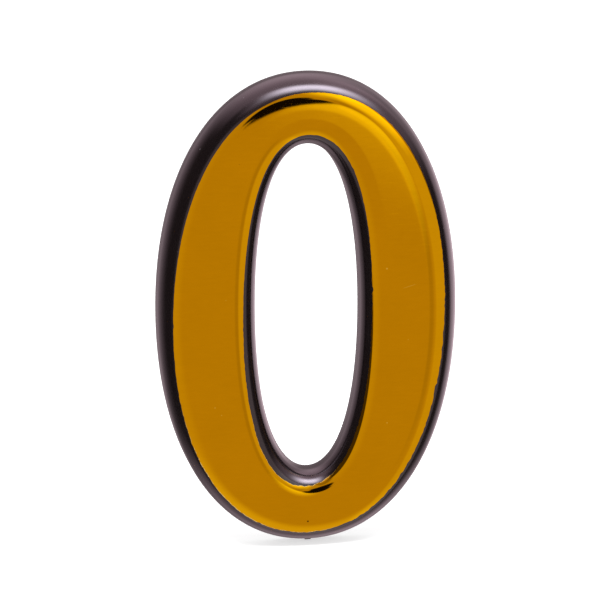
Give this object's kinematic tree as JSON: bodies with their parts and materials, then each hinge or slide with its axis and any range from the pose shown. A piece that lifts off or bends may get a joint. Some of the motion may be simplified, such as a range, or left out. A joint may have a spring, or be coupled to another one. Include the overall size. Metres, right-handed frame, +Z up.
{
  "type": "plastic door number",
  "caption": "Moulded door number nought: a glossy black plastic oval ring with rounded shoulders, a gold foil face and a flat back that sticks to a door.",
  "frame": {"origin": "middle of the digit's outline, on the plane of its flat back", "axes": "+Z up the digit, +X to the right as it is read, the gold front faces -Y and the back faces +Y"},
  "size_m": [0.0374, 0.0041, 0.0602],
  "materials": {
    "black_plastic": "glossy moulded plastic",
    "gold_foil": "hot-stamped mirror foil"
  },
  "bodies": {
    "root": {"number_body": "black_plastic", "gold_foil": "gold_foil"}
  },
  "joints": []
}
